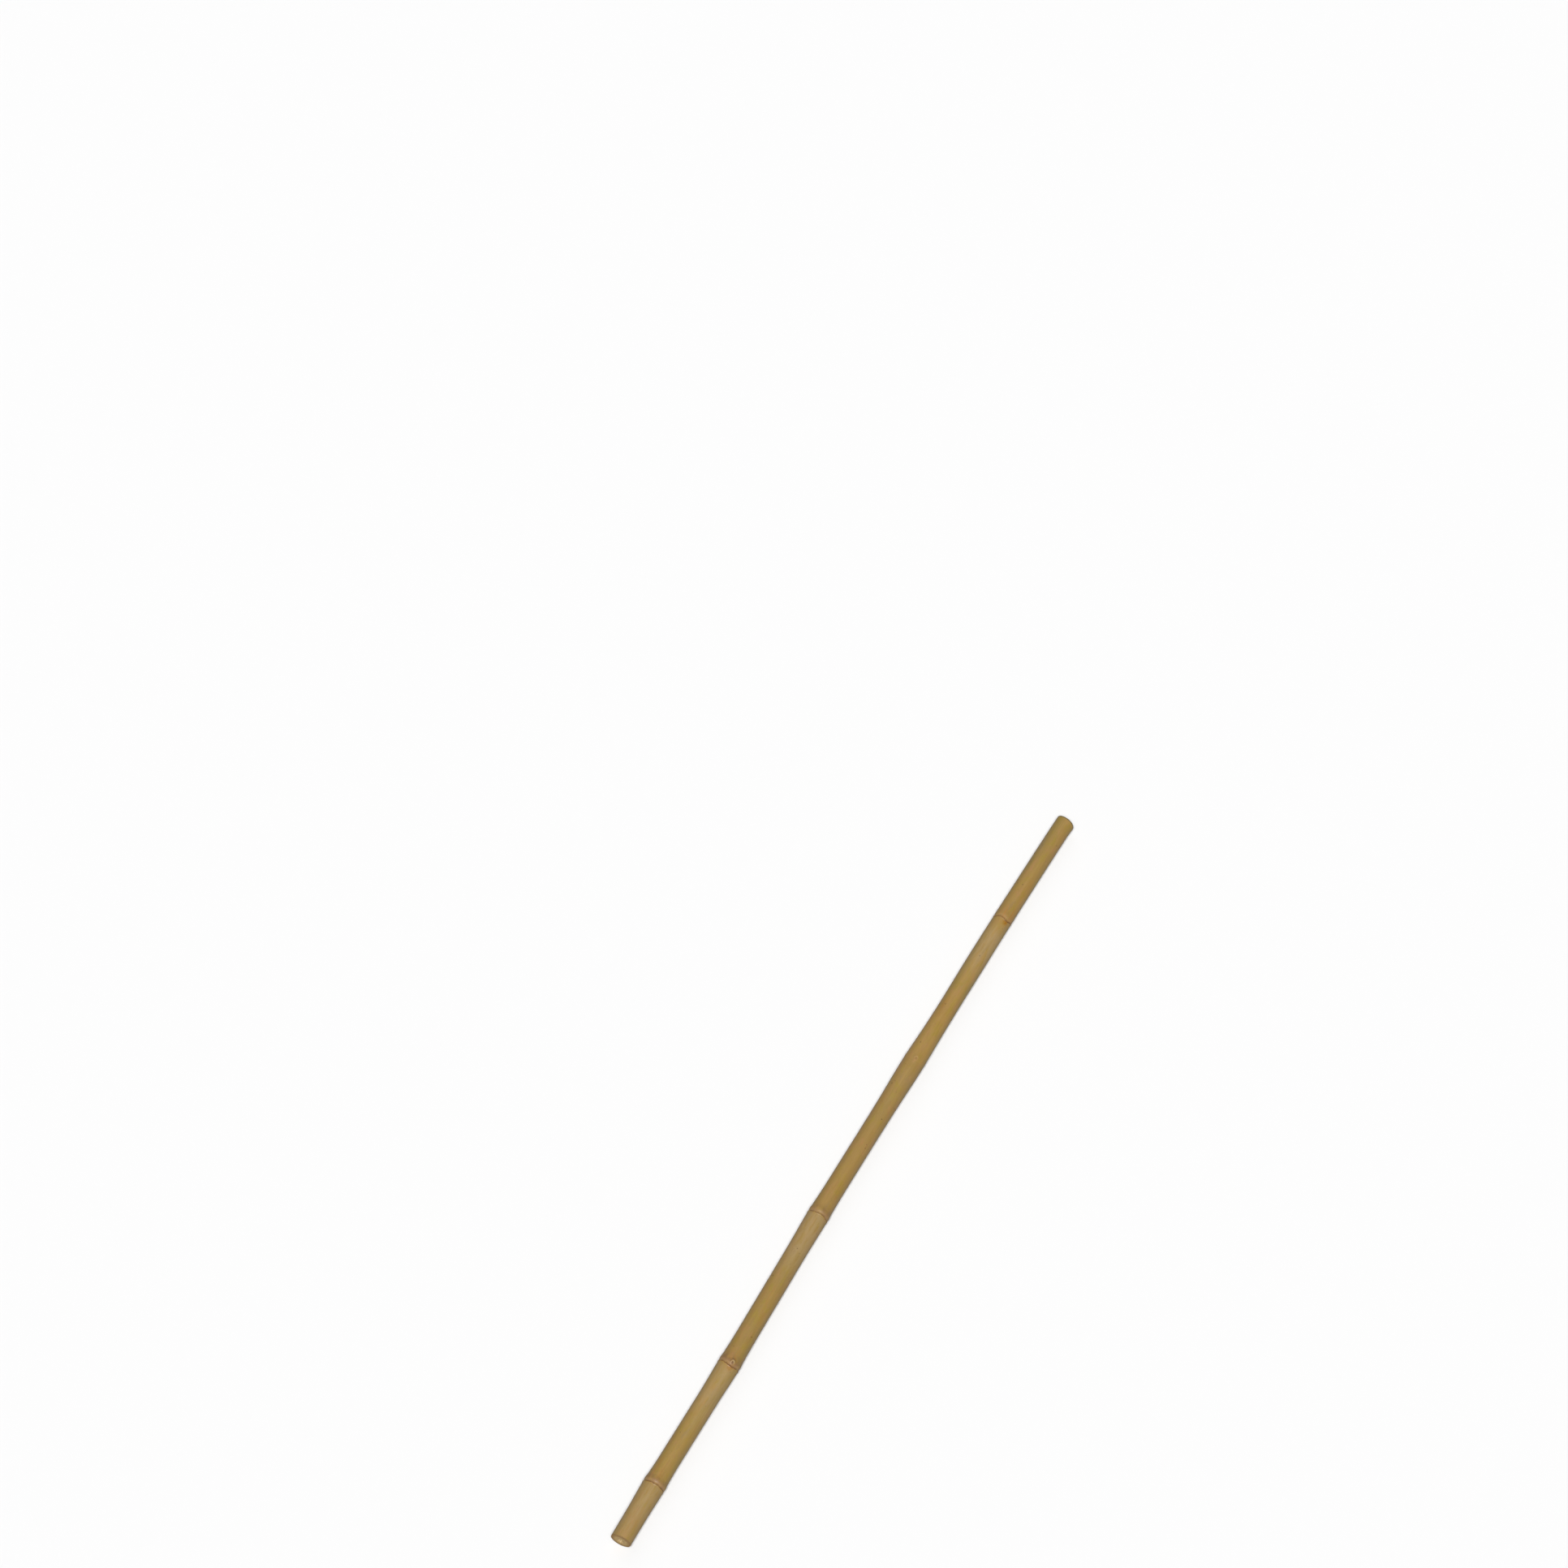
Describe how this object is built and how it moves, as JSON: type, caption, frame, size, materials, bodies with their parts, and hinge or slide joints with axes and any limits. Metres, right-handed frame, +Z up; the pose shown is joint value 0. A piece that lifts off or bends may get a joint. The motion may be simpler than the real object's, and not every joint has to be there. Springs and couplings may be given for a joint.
{
  "type": "bamboo cane",
  "caption": "Slender bamboo garden cane lying on its side: a tapered round culm with swollen nodes, sheath scars, bud scars and sawn hollow ends.",
  "frame": {"origin": "middle of the cane's footprint, on the plane that it rests on", "axes": "+X along the cane towards its thin end, +Y to the left of that, +Z up"},
  "size_m": [0.601, 0.0168, 0.0152],
  "materials": {
    "bamboo_skin": "satin dried bamboo skin, golden tan with waxy zones under the nodes",
    "cut_wood": "matt sawn bamboo end grain and pale lumen lining"
  },
  "bodies": {
    "root": {"cane": "bamboo_skin"}
  },
  "joints": []
}
